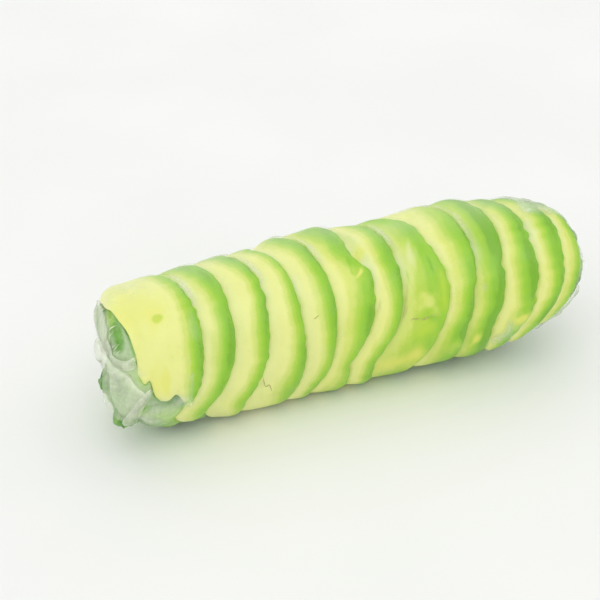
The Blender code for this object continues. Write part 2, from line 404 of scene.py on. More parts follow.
def avocado_material():
    """Flesh that goes from cream to green, with the patches that the mesh gives."""
    material, tree, shader = new_material("avocado_flesh")
    across, along = painted(tree, "across"), painted(tree, "along")
    place = node(tree, "ShaderNodeCombineXYZ")
    feed(place.inputs[0], across)
    feed(place.inputs[1], along)
    feed(place.inputs[2], painted(tree, "number"))
    streaks = noise(tree, 1.6 * MM, 3.0, (1.0, 0.13, 1.0), place.outputs[0])
    clouds = noise(tree, 4 * MM, 4.0)
    grain = noise(tree, 0.35 * MM, 2.0)
    green = painted(tree, "green")
    shift = calc(tree, "ADD", spread(tree, streaks, 0.25, 0.75, -0.07, 0.07),
                 spread(tree, clouds, 0.25, 0.75, -0.06, 0.06))
    green = calc(tree, "ADD", green, shift)
    green = calc(tree, "ADD", green, spread(tree, grain, 0.2, 0.8, -0.03, 0.03), clamp=True)
    colour = ramp(tree, green, (
        (0.0, srgb(237, 241, 148)),
        (0.28, srgb(214, 229, 112)),
        (0.56, srgb(178, 215, 62)),
        (0.74, srgb(154, 207, 38)),
        (0.90, srgb(140, 198, 30)),
        (1.0, srgb(122, 182, 16)),
    ))
    colour = blend(tree, painted(tree, "gold"), colour, srgb(232, 231, 82))
    colour = blend(tree, painted(tree, "lime"), colour, srgb(196, 222, 50))
    # The next blend whitens the flesh with a painted sheen, which stands for the soft light on the paper over
    # it.
    colour = blend(tree, painted(tree, "pale"), colour, srgb(230, 238, 196))
    # The next blend browns real stains, and also a painted shade line at the foot of a step.
    colour = blend(tree, painted(tree, "stain"), colour, srgb(118, 112, 62))
    feed(shader.inputs["Base Color"], colour)
    feed(shader.inputs["Normal"], bump(tree, calc(tree, "ADD", grain, streaks), 0.06 * MM))
    feed(shader.inputs["Roughness"], spread(tree, clouds, 0.2, 0.8, 0.38, 0.52))
    settle(shader, Subsurface_Weight=0.25, Subsurface_Radius=(1.0, 1.2, 0.5), Subsurface_Scale=1.2 * MM,
           Coat_Weight=0.35, Coat_Roughness=0.28)
    return material


def paper_material(name):
    """Rice paper: clear where it clings and milky where the mesh says it stands off, is folded or carries a
    painted sheen. The mesh also gives the share of the milk's light that comes through from behind."""
    material, tree, shader = new_material(name)
    white = srgb(240, 248, 222)
    veil = painted(tree, "veil")
    haze = noise(tree, 2.2 * MM, 4.0)
    threads = noise(tree, 0.8 * MM, 3.0, (1.0, 1.0, 0.35))
    veil = calc(tree, "ADD", veil, spread(tree, haze, 0.3, 0.75, -0.02, 0.05))
    veil = calc(tree, "MULTIPLY", veil, spread(tree, threads, 0.25, 0.75, 0.9, 1.1), clamp=True)
    relief = bump(tree, calc(tree, "ADD", haze, threads), 0.04 * MM)
    feed(shader.inputs["Normal"], relief)
    settle(shader, Base_Color=white, Roughness=0.28, IOR=1.45)
    glow = node(tree, "ShaderNodeBsdfTranslucent")
    feed(glow.inputs["Normal"], relief)
    glow.inputs["Color"].default_value = white
    milky = mixed(tree, painted(tree, "glow"), shader, glow)
    clear = node(tree, "ShaderNodeBsdfTransparent")
    sheet = mixed(tree, spread(tree, veil, 0.0, 1.0), clear, milky)
    output = next(one for one in tree.nodes if one.type == "OUTPUT_MATERIAL")
    tree.links.new(sheet.outputs[0], output.inputs["Surface"])
    return material


def leaf_material():
    """Lettuce, lighter on its folds and veins."""
    material, tree, shader = new_material("lettuce_leaf")
    clouds = noise(tree, 5 * MM, 4.0)
    grain = noise(tree, 0.7 * MM, 4.0)
    tone = calc(tree, "ADD", painted(tree, "fold"), spread(tree, clouds, 0.25, 0.75, -0.25, 0.25))
    tone = calc(tree, "ADD", tone, spread(tree, grain, 0.25, 0.75, -0.1, 0.1), clamp=True)
    colour = ramp(tree, tone, (
        (0.0, srgb(74, 134, 46)),
        (0.45, srgb(112, 172, 66)),
        (1.0, srgb(168, 208, 96)),
    ))
    colour = blend(tree, painted(tree, "vein"), colour, srgb(206, 224, 168))
    feed(shader.inputs["Base Color"], colour)
    feed(shader.inputs["Normal"], bump(tree, calc(tree, "ADD", grain, clouds), 0.25 * MM))
    settle(shader, Roughness=0.42, Subsurface_Weight=0.15, Subsurface_Radius=(0.6, 1.0, 0.3),
           Subsurface_Scale=1.0 * MM, Coat_Weight=0.25, Coat_Roughness=0.25)
    return material


def noodle_material():
    """Rice noodles, white and a little glassy."""
    material, tree, shader = new_material("rice_noodle")
    clouds = noise(tree, 2.5 * MM, 3.0)
    colour = ramp(tree, clouds, ((0.3, srgb(190, 208, 162)), (0.7, srgb(216, 228, 192))))
    feed(shader.inputs["Base Color"], colour)
    feed(shader.inputs["Roughness"], spread(tree, clouds, 0.3, 0.7, 0.25, 0.4))
    settle(shader, Subsurface_Weight=0.35, Subsurface_Radius=(1.0, 1.0, 0.9), Subsurface_Scale=0.8 * MM)
    return material


def clouded_material(name, size, detail, stops, roughness):
    """A dull material whose colour drifts in soft clouds of this size."""
    material, tree, shader = new_material(name)
    feed(shader.inputs["Base Color"], ramp(tree, noise(tree, size, detail), stops))
    settle(shader, Roughness=roughness)
    return material


def fibre_material():
    stops = ((0.35, srgb(172, 168, 106)), (0.65, srgb(198, 196, 126)))
    return clouded_material("avocado_fibre", 1.2 * MM, 3.0, stops, 0.5)


def floor_material():
    stops = ((0.3, srgb(243, 244, 241)), (0.7, srgb(247, 247, 245)))
    return clouded_material("floor_pale", 60 * MM, 2.0, stops, 0.65)


# ---- avocado slices ----

SLICE_ROWS = 190
SLICE_COLUMNS = 34
FIRST_COLUMNS = 95
BROAD = 8                  # the number of the broad slice in the middle
LAST = len(SLICES)

# How much further back some rims lie over the top, from which angle on and over how many degrees it comes
SLUMP = {5: 0.0020, 6: 0.0020, 8: 0.0050, 9: 0.0040, 10: 0.0020, 11: -0.0012}
SLUMP_FROM = 86
SLUMP_OVER = 36


def rim(number, angle):
    """The run of a slice's rim, before its small unevenness."""
    place, sweep, crest = SLICES[number - 1][:3]
    away = np.minimum(np.abs(angle - crest), 80.0) / 100
    return place - sweep * away * away - SLUMP.get(number, 0.0) * step(angle, SLUMP_FROM, SLUMP_OVER)


# Where a rim is torn: how far back, from which angle and to which, and over how many degrees that comes
# and goes
TORN = {
    6: (0.0040, 52, 120, 22, 42),
    9: (0.0006, 18, 40, 8, 22),
    10: (0.0009, 34, 56, 8, 22),
    11: (0.0011, 6, 34, 8, 22),
}


def worn_rim(number, angle, whole=False):
    """The rim with the uneven edge that the knife and the hand left. A whole one has no tears."""
    wave = uneven(10 + number, 0.016, arc(angle), 0.0) * 0.0005
    nick = uneven(40 + number, 0.0022, arc(angle), 0.0) * 0.00020
    if number in TORN and not whole:
        back, low, high, come, go = TORN[number]
        wave = wave - back * step(angle, low, come) * step(angle, high, -go)
    return rim(number, angle) + wave + nick


FIRST_EDGE = -0.0741       # the run of the first slice's outer edge at the front
FIRST_CURL = 0.0058        # how much further out that edge lies at the back


def first_edge(angle):
    """The first slice's outer edge, which curls over the roll's left end towards the back."""
    return FIRST_EDGE - FIRST_CURL * step(angle, 38, 78) + uneven(5, 0.006, arc(angle), 0.0) * 0.0002


# The first slice's lower edge, as (run in millimetres, angle): a short finger, a split, a longer finger and
# the corner at the rim
FIRST_LOWER = (
    (-75.0, 28.0), (-74.2, 24.0), (-73.4, 18.5), (-72.6, 16.0), (-71.9, 17.5), (-71.4, 18.0), (-71.0, 15.0),
    (-70.7, 9.5), (-70.3, 5.5), (-69.7, 2.6), (-69.0, 0.2), (-68.2, -1.4), (-67.3, -2.0), (-66.4, -1.2),
    (-65.6, 0.4), (-64.9, 1.4), (-64.2, 0.6), (-63.5, -2.0), (-62.8, -5.4), (-62.0, -8.6), (-61.1, -10.8),
    (-60.2, -11.6), (-59.2, -10.5),
)


def first_bottom(run):
    """The angle of the first slice's lower edge at these runs."""
    line = curve_through(FIRST_LOWER, 6)
    return np.interp(run, line[:, 0] * MM, line[:, 1])


FAR_ABOVE = 0.035          # past this the distance to the first slice's lower edge isn't worked out finely


def above_bottom(run, angle):
    """How far places lie above the first slice's lower edge, negative below it."""
    run, angle = np.broadcast_arrays(run, angle)
    up = arc(angle - first_bottom(run))
    near = (run < -0.050) & (np.abs(up) < FAR_ABOVE)
    line = curve_through(FIRST_LOWER, 6) * MM
    line[:, 1] = arc(line[:, 1] / MM)
    u, v = run[near], arc(angle[near])
    best = np.full(u.shape, FAR_ABOVE)
    for start, end in zip(line[:-1], line[1:]):
        ahead = end - start
        share = np.clip(((u - start[0]) * ahead[0] + (v - start[1]) * ahead[1]) / (ahead @ ahead), 0, 1)
        best = np.minimum(best, np.hypot(u - start[0] - share * ahead[0], v - start[1] - share * ahead[1]))
    distance = up.copy()
    distance[near] = np.sign(up[near]) * best
    return distance


def edges_of(number, angle):
    """The left and right edges of a slice, as runs, without its rounded tips."""
    if number == 1:
        return first_edge(angle), worn_rim(1, angle)
    near, far = worn_rim(number - 1, angle), worn_rim(number, angle)
    return near - (far - near) * LAP, far


def tip_share(share):
    """How wide a slice is near its tips, against its middle."""
    return np.maximum(1 - np.abs(2 * share - 1) ** 7, 0.0) ** 0.6


def step_down(angle):
    """How much deeper a slice lies at its neighbour's rim than at its own, less round the underside."""
    return SINK * (1 - 0.5 * step(angle, -18, -36))


def slice_face_depth(number, run, angle):
    """How deep a slice's outer face lies, before its edges round over."""
    if number == 1:
        near, far = first_edge(angle), rim(1, angle)
        share = np.clip((run - near) / (far - near), 0, 1)
        return FIRST_FALL * (1 - share) ** 2
    near, far = rim(number - 1, angle), rim(number, angle)
    share = np.clip((run - near) / (far - near), -LAP, 1.0)
    belly = BELLY * np.sin(math.pi * np.clip(share, 0, 1))
    return step_down(angle) * (1 - share) ** 1.15 - belly


def edge_drop(distance):
    """How far a face falls away within ROUND of its edge."""
    near = np.clip(1 - distance / ROUND, 0.0, 1.0)
    return THICK / 2 * (1 - np.sqrt(np.maximum(1 - near * near, 0.0)))


def spaced(count, edge=0.5):
    """Shares from 0 to 1 that crowd towards both ends."""
    share = np.linspace(0, 1, count)
    crowded = (1 - np.cos(math.pi * share)) / 2
    return share * (1 - edge) + crowded * edge


def first_lower(columns):
    """The angle of the first slice's lower edge in each column of its grid."""
    lower = 0.0 * columns
    for _ in range(30):
        left, right = edges_of(1, lower)
        lower = 0.6 * lower + 0.4 * first_bottom(left + (right - left) * columns)
    return lower


def slice_grid(number):
    """Runs, angles and distances to the edge over a slice."""
    lower, upper = SLICES[number - 1][3:]
    rows, columns = spaced(SLICE_ROWS, 0.4)[:, None], spaced(SLICE_COLUMNS, 0.75)[None, :]
    narrow = tip_share(rows * 0.994 + 0.003)
    if number == 1:
        columns = spaced(FIRST_COLUMNS, 0.4)[None, :]
        lower = first_lower(columns)
        narrow = np.where(rows > 0.5, tip_share(0.5 + rows / 2), 1.0)
    angle = lower + (upper - lower) * rows + 0.0 * columns
    left, right = edges_of(number, angle)
    width = (right - left) * narrow
    run = (left + right) / 2 + (columns - 0.5) * width
    length = arc(upper - lower)
    if number == 1:
        endways = np.minimum(np.maximum(above_bottom(run, angle), 0.0), length * (1 - rows))
        endways[0] = 0.0
    else:
        endways = length * np.minimum(rows, 1 - rows)
    return run, angle, np.minimum(width * np.minimum(columns, 1 - columns), endways)


def patch(run, angle, centre, half, seed, soft=0.35, lean=0.0, ragged=1.0):
    """1 inside a ragged oval about a (run, angle) centre and 0 outside it. half is in metres both ways."""
    v = (arc(angle) - arc(centre[1])) / half[1]
    u = (run - centre[0] - lean * v * half[1]) / half[0]
    warp = 0.30 * ragged * uneven(seed, 1.3, u, v), 0.30 * ragged * uneven(seed + 500, 1.3, u, v)
    fine = 0.12 * ragged * uneven(seed + 700, 0.4, u, v)
    return smooth((1 + fine - np.hypot(u + warp[0], v + warp[1])) / soft)


# The shares of each slice's width between which it turns from flesh to green
GREENING = (
    (0.68, 1.00), (0.14, 0.80), (0.42, 0.92), (0.46, 1.00), (0.34, 0.95), (0.16, 0.92), (0.30, 0.92),
    (-0.20, 0.80), (0.06, 0.94), (-0.10, 0.72), (0.14, 0.80), (0.12, 0.74), (0.14, 0.92),
)

# How much later than at the front a slice turns green over the top, as a share of its width
LATER_ON_TOP = {9: 0.45}
SOONER_ON_TOP = 0.12
# How much greener the slices are where they come out from under their neighbour: partly painted shade under
# the neighbour's rim, partly the flesh's own colour
SHADE = (0.0, 0.08, 0.08, 0.08) + (0.20,) * 9
# How strong all the green is on the slices up to the broad one, and on the broad slice below its patches
LEFT_GREEN = 0.92
BROAD_GREEN = 0.80

# Patches on the slices: the slice, what the patch changes and how strongly, its centre as (run, angle), its
# half size along and round, its seed, how soft its edge is, how much it leans and how ragged it is. "flesh"
# takes green away, "tint" adds to it and "bare" takes away the painted sheen, a whitening that stands for
# light.
PATCHES = (
    (1, {"gold": 0.35}, (-0.0700, 70), (0.0080, 0.0160), 1, 0.9),
    (1, {"gold": 0.50}, (-0.0683, 14), (0.0032, 0.0090), 2, 0.9),
    (1, {"lime": 0.75}, (-0.0661, 61), (0.0021, 0.0019), 3, 0.45, 0.0, 0.25),
    (1, {"tint": 0.12}, (-0.0610, 6), (0.0030, 0.0090), 4, 1.0),
    (6, {"green": 0.90}, (-0.0018, 70), (0.0016, 0.0070), 15, 0.9),
    (6, {"flesh": 0.80, "gold": 0.50}, (-0.0002, 55), (0.0012, 0.0036), 11, 1.0, 0.9),
    (7, {"gold": 0.45, "bare": 0.70}, (0.0015, 74), (0.0040, 0.0070), 13, 0.8),
    (7, {"green": 0.66, "bare": 1.00}, (0.0002, 70), (0.0034, 0.0110), 12, 0.9, -0.7, 1.3),
    (7, {"green": 0.85}, (-0.0006, 69), (0.0012, 0.0034), 16, 0.7, 0.5, 1.8),
    (7, {"stain": 0.22}, (0.0036, 27), (0.0006, 0.0035), 14, 0.9, 0.3),
    (8, {"green": 1.00}, (0.0228, 60), (0.0026, 0.0120), 20, 0.9),
    (8, {"green": 0.80}, (0.0155, 50), (0.0020, 0.0065), 29, 1.4),
    # A whitish painted sheen band over the top of the broad slice, with less green under it.
    (8, {"flesh": 0.45, "pale": 0.55}, (0.0190, 64), (0.0030, 0.0105), 21, 1.2, 0.25),
    (8, {"flesh": 0.80}, (0.0205, 22), (0.0070, 0.0060), 22, 1.0),
    (8, {"lime": 0.85}, (0.0175, 3), (0.0075, 0.0065), 23, 1.1),
    (8, {"green": 0.60}, (0.0180, 1), (0.0060, 0.0030), 27, 1.0, 0.0, 1.3),
    (8, {"gold": 0.80, "flesh": 0.80}, (0.0120, -26), (0.0120, 0.0085), 24, 1.2),
    (8, {"stain": 0.16}, (0.0180, 13.5), (0.0060, 0.0012), 25, 0.9),
    (9, {"flesh": 0.50}, (0.0300, -20), (0.0045, 0.0080), 28, 1.0),
    (10, {"gold": 0.60, "flesh": 0.60}, (0.0365, -18), (0.0026, 0.0070), 33, 1.0),
    (11, {"gold": 0.60, "flesh": 0.60}, (0.0510, -6), (0.0042, 0.0050), 31, 0.8),
    (11, {"lime": 0.60}, (0.0556, 11), (0.0030, 0.0026), 32, 0.9),
    (11, {"lime": 0.50}, (0.0500, -12), (0.0030, 0.0016), 35, 0.8),
    (12, {"flesh": 0.60}, (0.0590, 45), (0.0020, 0.0110), 34, 0.8),
)


def greenness(number, angle, share):
    """How green a slice is across its width, before its patches."""
    start, end = GREENING[number - 1]
    later = LATER_ON_TOP.get(number, -SOONER_ON_TOP)
    shift = 0.09 * uneven(70 + number, 0.018, arc(angle), 0.0) + later * step(angle, 70, 45)
    green = np.clip((share - start - shift) / (end - start), 0, 1)
    green = 0.5 * green + 0.5 * smooth(green)
    # Greener where the slice comes out from under its neighbour: partly painted shade, partly the flesh's own
    # colour.
    green = np.clip(green + SHADE[number - 1] * step(share, 0.20, -0.20), 0, 1)
    return BROAD_GREEN * green if number == BROAD else green


def painted_sheen_amount(number, run, angle, share):
    """How much a painted sheen whitens a slice, standing for light on the paper over it: mostly over the top
    and where the slice comes out from under its neighbour.
    """
    bloom = 0.5 + 0.5 * uneven(110 + number, 0.012, run, arc(angle))
    pale = 0.65 * step(share, 0.40, -0.38) * step(angle, 30, 40) * np.clip(bloom, 0.2, 1) * (number > 1)
    pale = np.maximum(pale, 0.16 * step(angle, 60, 40))
    if number == 6:
        pale = 0.5 * pale
    if 1 < number < 6:
        pale = np.maximum(pale, 0.16 * step(share, 0.75, -0.5))
    return pale


def repaint(paint, what, shape):
    """Changes a slice's paint by one patch."""
    if what == "flesh":
        paint["green"] = paint["green"] * (1 - shape)
    elif what == "tint":
        paint["green"] = np.clip(paint["green"] + shape, 0, 1)
    elif what == "bare":
        paint["pale"] = paint["pale"] * (1 - shape)
    else:
        paint[what] = np.maximum(paint[what], shape)


def broad_lines(paint, run, angle):
    """The broad slice's lime line inside its rim, and a brown line of painted shade at the foot of its
    neighbour's rim.
    """
    lime = 0.6 * bell(run - rim(BROAD, angle), -0.0014, 0.0012) * step(angle, 52, -10) * step(angle, 12, 10)
    # A brown line of painted shade where the broad slice comes out under its neighbour's step, low on the
    # front.
    line = rim(BROAD - 1, angle) + 0.0013 * step(angle, -11, 35)
    painted_shade_line = 0.35 * bell(run, line, 0.0004) * step(angle, 46, -12) * step(angle, -12, 12)
    repaint(paint, "lime", lime)
    repaint(paint, "stain", painted_shade_line)


def slice_paint(number, run, angle, distance):
    """How green, golden and lime a slice is at each point, how stained or darkened by a painted shade line,
    and how much painted sheen whitens it.
    """
    left = first_edge(angle) if number == 1 else worn_rim(number - 1, angle, whole=True)
    share = np.clip((run - left) / (worn_rim(number, angle) - left), 0.0, 1.0)
    gold = 0.12 * step(share, 0.2, 0.1) * step(share, 0.6, -0.2) * (number > 1)
    paint = {"green": greenness(number, angle, share), "gold": gold, "lime": 0.0 * share,
             "stain": 0.0 * share, "pale": painted_sheen_amount(number, run, angle, share)}
    for patched, changes, *place in PATCHES:
        if patched == number:
            shape = patch(run, angle, *place)
            for what, strength in changes.items():
                repaint(paint, what, strength * shape)
    if number == BROAD:
        broad_lines(paint, run, angle)
    repaint(paint, "green", step(distance, 0.6 * MM, -0.6 * MM) * step(share, 0.7, 0.2))
    if number < BROAD:
        paint["green"] = LEFT_GREEN * paint["green"]
    return paint


def make_slice(number, material):
    """One slice, closed and rounded at its edges, with its paint."""
    run, angle, distance = slice_grid(number)
    face = slice_face_depth(number, run, angle)
    thick = THICK
    if number == 1:
        low = step(angle, 28, -24) * step(run, -0.0600, -0.004)
        edge = step(run, first_edge(angle) + 0.006, -0.006)
        thick = THICK * (1 - 0.6 * np.maximum(low, edge))
    drop = edge_drop(distance) * thick / THICK
    lumps = uneven(100 + number, 0.006, run, arc(angle)) * 0.00012 * smooth(distance / (2 * MM))
    top = on_roll(run, angle, face + drop + lumps)
    bottom = on_roll(run, angle, face + thick - drop)
    points, faces, inside = slab(top, bottom)
    values = slice_paint(number, run, angle, distance)
    values["across"], values["along"] = run, arc(angle)
    values["number"] = np.full_like(run, 0.05 * number)
    return make_piece(f"avocado_slice_{number:02d}", points, faces, material, slab_values(values, inside),
                      (f"avocado_{number:02d}",))


# ---- the food's surface ----

def reach_inside(number, run, angle):
    """How far a place lies inside a slice's outline, negative outside it."""
    lower, upper = SLICES[number - 1][3:]
    if number == 1:
        lower = first_bottom(run)
    share = (angle - lower) / (upper - lower)
    left, right = edges_of(number, angle)
    if number == 1:
        narrow = np.where(share > 0, tip_share(0.5 + np.clip(share, 0, 1) / 2), 1.0)
    else:
        narrow = tip_share(np.clip(share, 0, 1) * 0.994 + 0.003)
    sideways = (right - left) / 2 * narrow - np.abs(run - (left + right) / 2)
    endways = arc(upper - lower) * np.minimum(share, 1 - share)
    if number == 1:
        endways = np.minimum(above_bottom(run, angle), arc(upper - angle))
    return np.minimum(sideways, endways)


MIDRIB = 212               # the angle along which the lettuce's midrib lies, at the back
VEIN_SPACING = 0.0105


def leaf_pattern(run, angle):
    """The lettuce's veins, from 0 to 1, and how its folds lie, from 0 to 1."""
    side = arc(angle) - arc(MIDRIB) - 0.0024 * uneven(201, 0.030, run, 0.0)
    far = np.abs(side)
    lean = run + 0.5 * far + 9.0 * far * far + 0.0030 * uneven(202, 0.028, run, side)
    phase = lean / VEIN_SPACING + 0.45 * (side > 0)
    away = np.abs(phase - np.round(phase)) * VEIN_SPACING
    width = 0.0007 * np.clip(1.1 - far / 0.05, 0.4, 1)
    strength = np.clip(0.5 + 0.35 * uneven(206, 0.020, run, side), 0.1, 0.9)
    branch = bell(away, 0, width) * strength
    small = 0.32 * smooth(1 - np.abs(uneven(203, 0.0050, run, side)) / 0.14)
    midrib = 0.9 * bell(side, 0, 0.0019)
    vein = np.maximum(np.maximum(branch, midrib), small)
    fold = 0.5 + 0.35 * uneven(204, 0.009, run, side)
    return vein, fold


WINDOW = ((-0.0782, 66), (0.0032, 0.0100))   # the centre and half size of the window at the left end


def window(run, angle):
    """1 where the paper at the left end is clear and 0 round it."""
    return patch(run, angle, *WINDOW, 61, 0.5)


def leaf_surface(run, angle):
    """How deep the lettuce lies, with its veins raised and its folds puckered."""
    vein, fold = leaf_pattern(run, angle)
    cover = np.zeros_like(vein)
    for number in range(1, LAST + 1):
        cover = np.maximum(cover, smooth(reach_inside(number, run, angle) / 0.0025))
    at_ends = step(run, -0.072, -0.004) + step(run, 0.080, 0.004)
    pucker = (0.00035 + 0.0004 * at_ends) * uneven(205, 0.0045, run, arc(angle)) * off_pole(run)
    shallow = LEAF_DEPTH + pucker - 0.00035 * vein + 0.0005 * at_ends
    shallow = shallow + 0.0014 * window(run, angle)
    return shallow + (LEAF_UNDER - shallow) * cover


SKIRT = 0.0024             # how far past a slice's edge the paper comes down again


def cling_surface(run, angle):
    """How deep the paper would lie if it hugged the food, coming down softly past each slice's edge."""
    depth = leaf_surface(run, angle)
    for number in range(1, LAST + 1):
        outside = np.maximum(-reach_inside(number, run, angle), 0.0)
        face = slice_face_depth(number, run, angle) + step_down(angle) * smooth(outside / SKIRT)
        depth = np.where(outside < SKIRT, np.minimum(depth, face), depth)
    return depth


# Behind these rims the paper's extra whiteness over the top is a painted highlight of the light from above.
STREAKED = (1, 3, 5, 7, 9)     # the slices behind whose rims the paper is whitest over the top
CLEAR_SPOT = ((0.0000, 76), (0.0050, 0.0110), 74, 0.8)     # a place over the top where it isn't
FREE_WIDTH = 0.0048            # how far past a rim the paper hangs free


def behind_rims(run, angle):
    """How free the paper hangs in the crescents just past the slices' rims, 1 where it usually does, with a
    painted highlight added over the top behind some rims.
    """
    band = np.zeros_like(run)
    for number in range(1, LAST):
        past = run - worn_rim(number, angle, whole=True)
        lower, upper = SLICES[number - 1][3:]
        here = step(angle, upper - 6, -12) * step(angle, lower, 12)
        patchy = np.clip(0.55 + 0.6 * uneven(90 + number, 0.016, arc(angle), 0.0), 0, 1)
        if number in STREAKED:
            # Over the top these crescents get a painted highlight.
            patchy = patchy + 1.4 * step(angle, 58, 24)
            past = past + 0.0006
        band = np.maximum(band, smooth(past / 0.0006) * step(past, FREE_WIDTH, -0.0042) * here * patchy)
    return band * (1 - patch(run, angle, *CLEAR_SPOT))


# ---- lettuce and noodles ----

POLE_MARGIN = 0.0012       # how near to a pole a grid's first ring lies


def full_grid(rings, count):
    """Runs from pole to pole, closer together at the ends, and angles right round, as a grid."""
    runs = LEFT_POLE + POLE_MARGIN + (RIGHT_POLE - LEFT_POLE - 2 * POLE_MARGIN) * spaced(rings, 0.25)
    angles = -90 + 360 * np.arange(count) / count
    return np.meshgrid(runs, angles, indexing="ij")


def skin(run, angle, depth, left, right):
    """Points and faces of a closed skin that lies this deep, and this deep at its left and right poles."""
    poles = [on_roll(LEFT_POLE, 0.0, left), on_roll(RIGHT_POLE, 0.0, right)]
    return balloon(on_roll(run, angle, depth), poles)


def make_leaf(material):
    """The leaf round the noodles."""
    run, angle = full_grid(300, 240)
    vein, fold = leaf_pattern(run, angle)
    depth = leaf_surface(run, angle)
    points, faces = skin(run, angle, depth, depth[0].mean(), depth[-1].mean())
    values = {"vein": np.append(vein.ravel(), (0.3, 0.3)), "fold": np.append(fold.ravel(), (0.5, 0.5))}
    return make_piece("lettuce_leaf", points, faces, material, values, ("lettuce",))


def tube(path, radius, sides=7, fade=0.02):
    """Points and faces of a closed tube along a path of points, thinner over its ends."""
    path = np.asarray(path, float)
    ahead = np.gradient(path, axis=0)
    ahead /= np.linalg.norm(ahead, axis=1)[:, None]
    across = np.cross(ahead, (0.31, 0.17, 0.93))
    across /= np.linalg.norm(across, axis=1)[:, None]
    up = np.cross(ahead, across)
    turns = 2 * math.pi * np.arange(sides) / sides
    ring = np.cos(turns)[None, :, None] * across[:, None] + np.sin(turns)[None, :, None] * up[:, None]
    share = np.linspace(0, 1, len(path))
    size = radius * np.clip(np.minimum(share, 1 - share) / fade, 0.25, 1)
    points = path[:, None] + ring * size[:, None, None]
    index = np.arange(len(path) * sides).reshape(len(path), sides)
    faces = grid_faces(np.concatenate([index, index[:, :1]], 1), flip=True)
    faces.append(tuple(index[0].tolist()))
    faces.append(tuple(index[-1][::-1].tolist()))
    return points.reshape(-1, 3), faces


def joined(parts):
    """One set of points and faces from several."""
    points, faces, start = [], [], 0
    for part_points, part_faces in parts:
        points.append(part_points)
        faces += [tuple(corner + start for corner in face) for face in part_faces]
        start += len(part_points)
    return np.concatenate(points), faces


NOODLE = 0.00038           # radius of a strand
CORE_DEPTH = 0.0078        # how deep the bundle's core lies, and how deep at its poles
CORE_POLE_DEPTH = 0.0080


def end_strand(draw, left):
    """A strand that crosses one end of the roll just under the paper, clear of the window."""
    pole = LEFT_POLE if left else RIGHT_POLE
    share = np.linspace(0, 1, 34)
    while True:
        start = draw.uniform(-60, 300)
        turn = draw.uniform(50, 150) * draw.choice((-1, 1))
        rim_run = abs(pole) - draw.uniform(0.0085, 0.0125) * (1.0 if left else 1.8)
        run = rim_run + (abs(pole) - rim_run) * draw.uniform(0.45, 0.92) * np.sin(math.pi * share)
        run = math.copysign(1, pole) * run
        angle = start + turn * share + 5 * np.sin(share * draw.uniform(4, 9) + draw.uniform(0, 6))
        if window(run, (angle + 90) % 360 - 90).max() < 0.05:
            break
    depth = draw.uniform(0.0012, 0.0024) + 0.0004 * np.sin(share * draw.uniform(5, 12))
    return on_roll(run, angle, depth)


# Strands that hang down across the clear window at the left end: (front, up) of the upper and lower end, in
# millimetres from the pole, and how thick each is against the others
WINDOW_STRANDS = (
    ((3.4, 8.6), (1.8, 5.6), 0.55), ((3.0, 6.9), (2.4, 4.4), 0.45), ((5.0, 6.6), (3.7, 4.4), 0.4),
    ((5.7, 6.2), (4.6, 4.6), 0.4), ((4.3, 6.0), (3.2, 4.2), 0.35),
)


def window_strand(upper, lower, thick, draw):
    """Points and faces of one strand across the window."""
    share = np.linspace(0, 1, 26)
    front = upper[0] + (lower[0] - upper[0]) * share + draw.uniform(0.1, 0.3) * np.sin(math.pi * share)
    up = upper[1] + (lower[1] - upper[1]) * share
    run, angle = end_place(front, up, LEFT_POLE)
    depth = 0.0008 + 0.0010 * (2 * share - 1) ** 2
    return tube(on_roll(run, angle, depth), NOODLE * thick, fade=0.4)


def make_noodles(material):
    """Strands that show at the ends, over a smaller core."""
    draw = np.random.default_rng(31)
    strands = [tube(end_strand(draw, True), NOODLE) for _ in range(9)]
    strands += [window_strand(*one, draw) for one in WINDOW_STRANDS]
    strands += [tube(end_strand(draw, False), NOODLE) for _ in range(8)]
    points, faces = joined(strands)
    make_piece("noodle_strands", points, faces, material, {}, ("rice_noodles",))
    run, angle = full_grid(120, 72)
    depth = CORE_DEPTH + 0.0004 * uneven(33, 0.0035, arc(angle), run / 6)
    points, faces = skin(run, angle, depth, CORE_POLE_DEPTH, CORE_POLE_DEPTH)
    make_piece("noodle_core", points, faces, material, {}, ("rice_noodles",))


# ---- rice paper ----

def blurred(field):
    """The field softened once, right round the roll and along it."""
    around = (np.roll(field, 1, 1) + 2 * field + np.roll(field, -1, 1)) / 4
    ahead = np.concatenate([around[1:], around[-1:]])
    behind = np.concatenate([around[:1], around[:-1]])
    return (ahead + 2 * around + behind) / 4


SEAM = 196                 # the angle of the paper's free edge, at the back
SEAM_HEIGHT = 0.00035
LEFT_GLOW = 0.08           # the share of the milk's light that comes through from behind, at each end
RIGHT_GLOW = 0.68

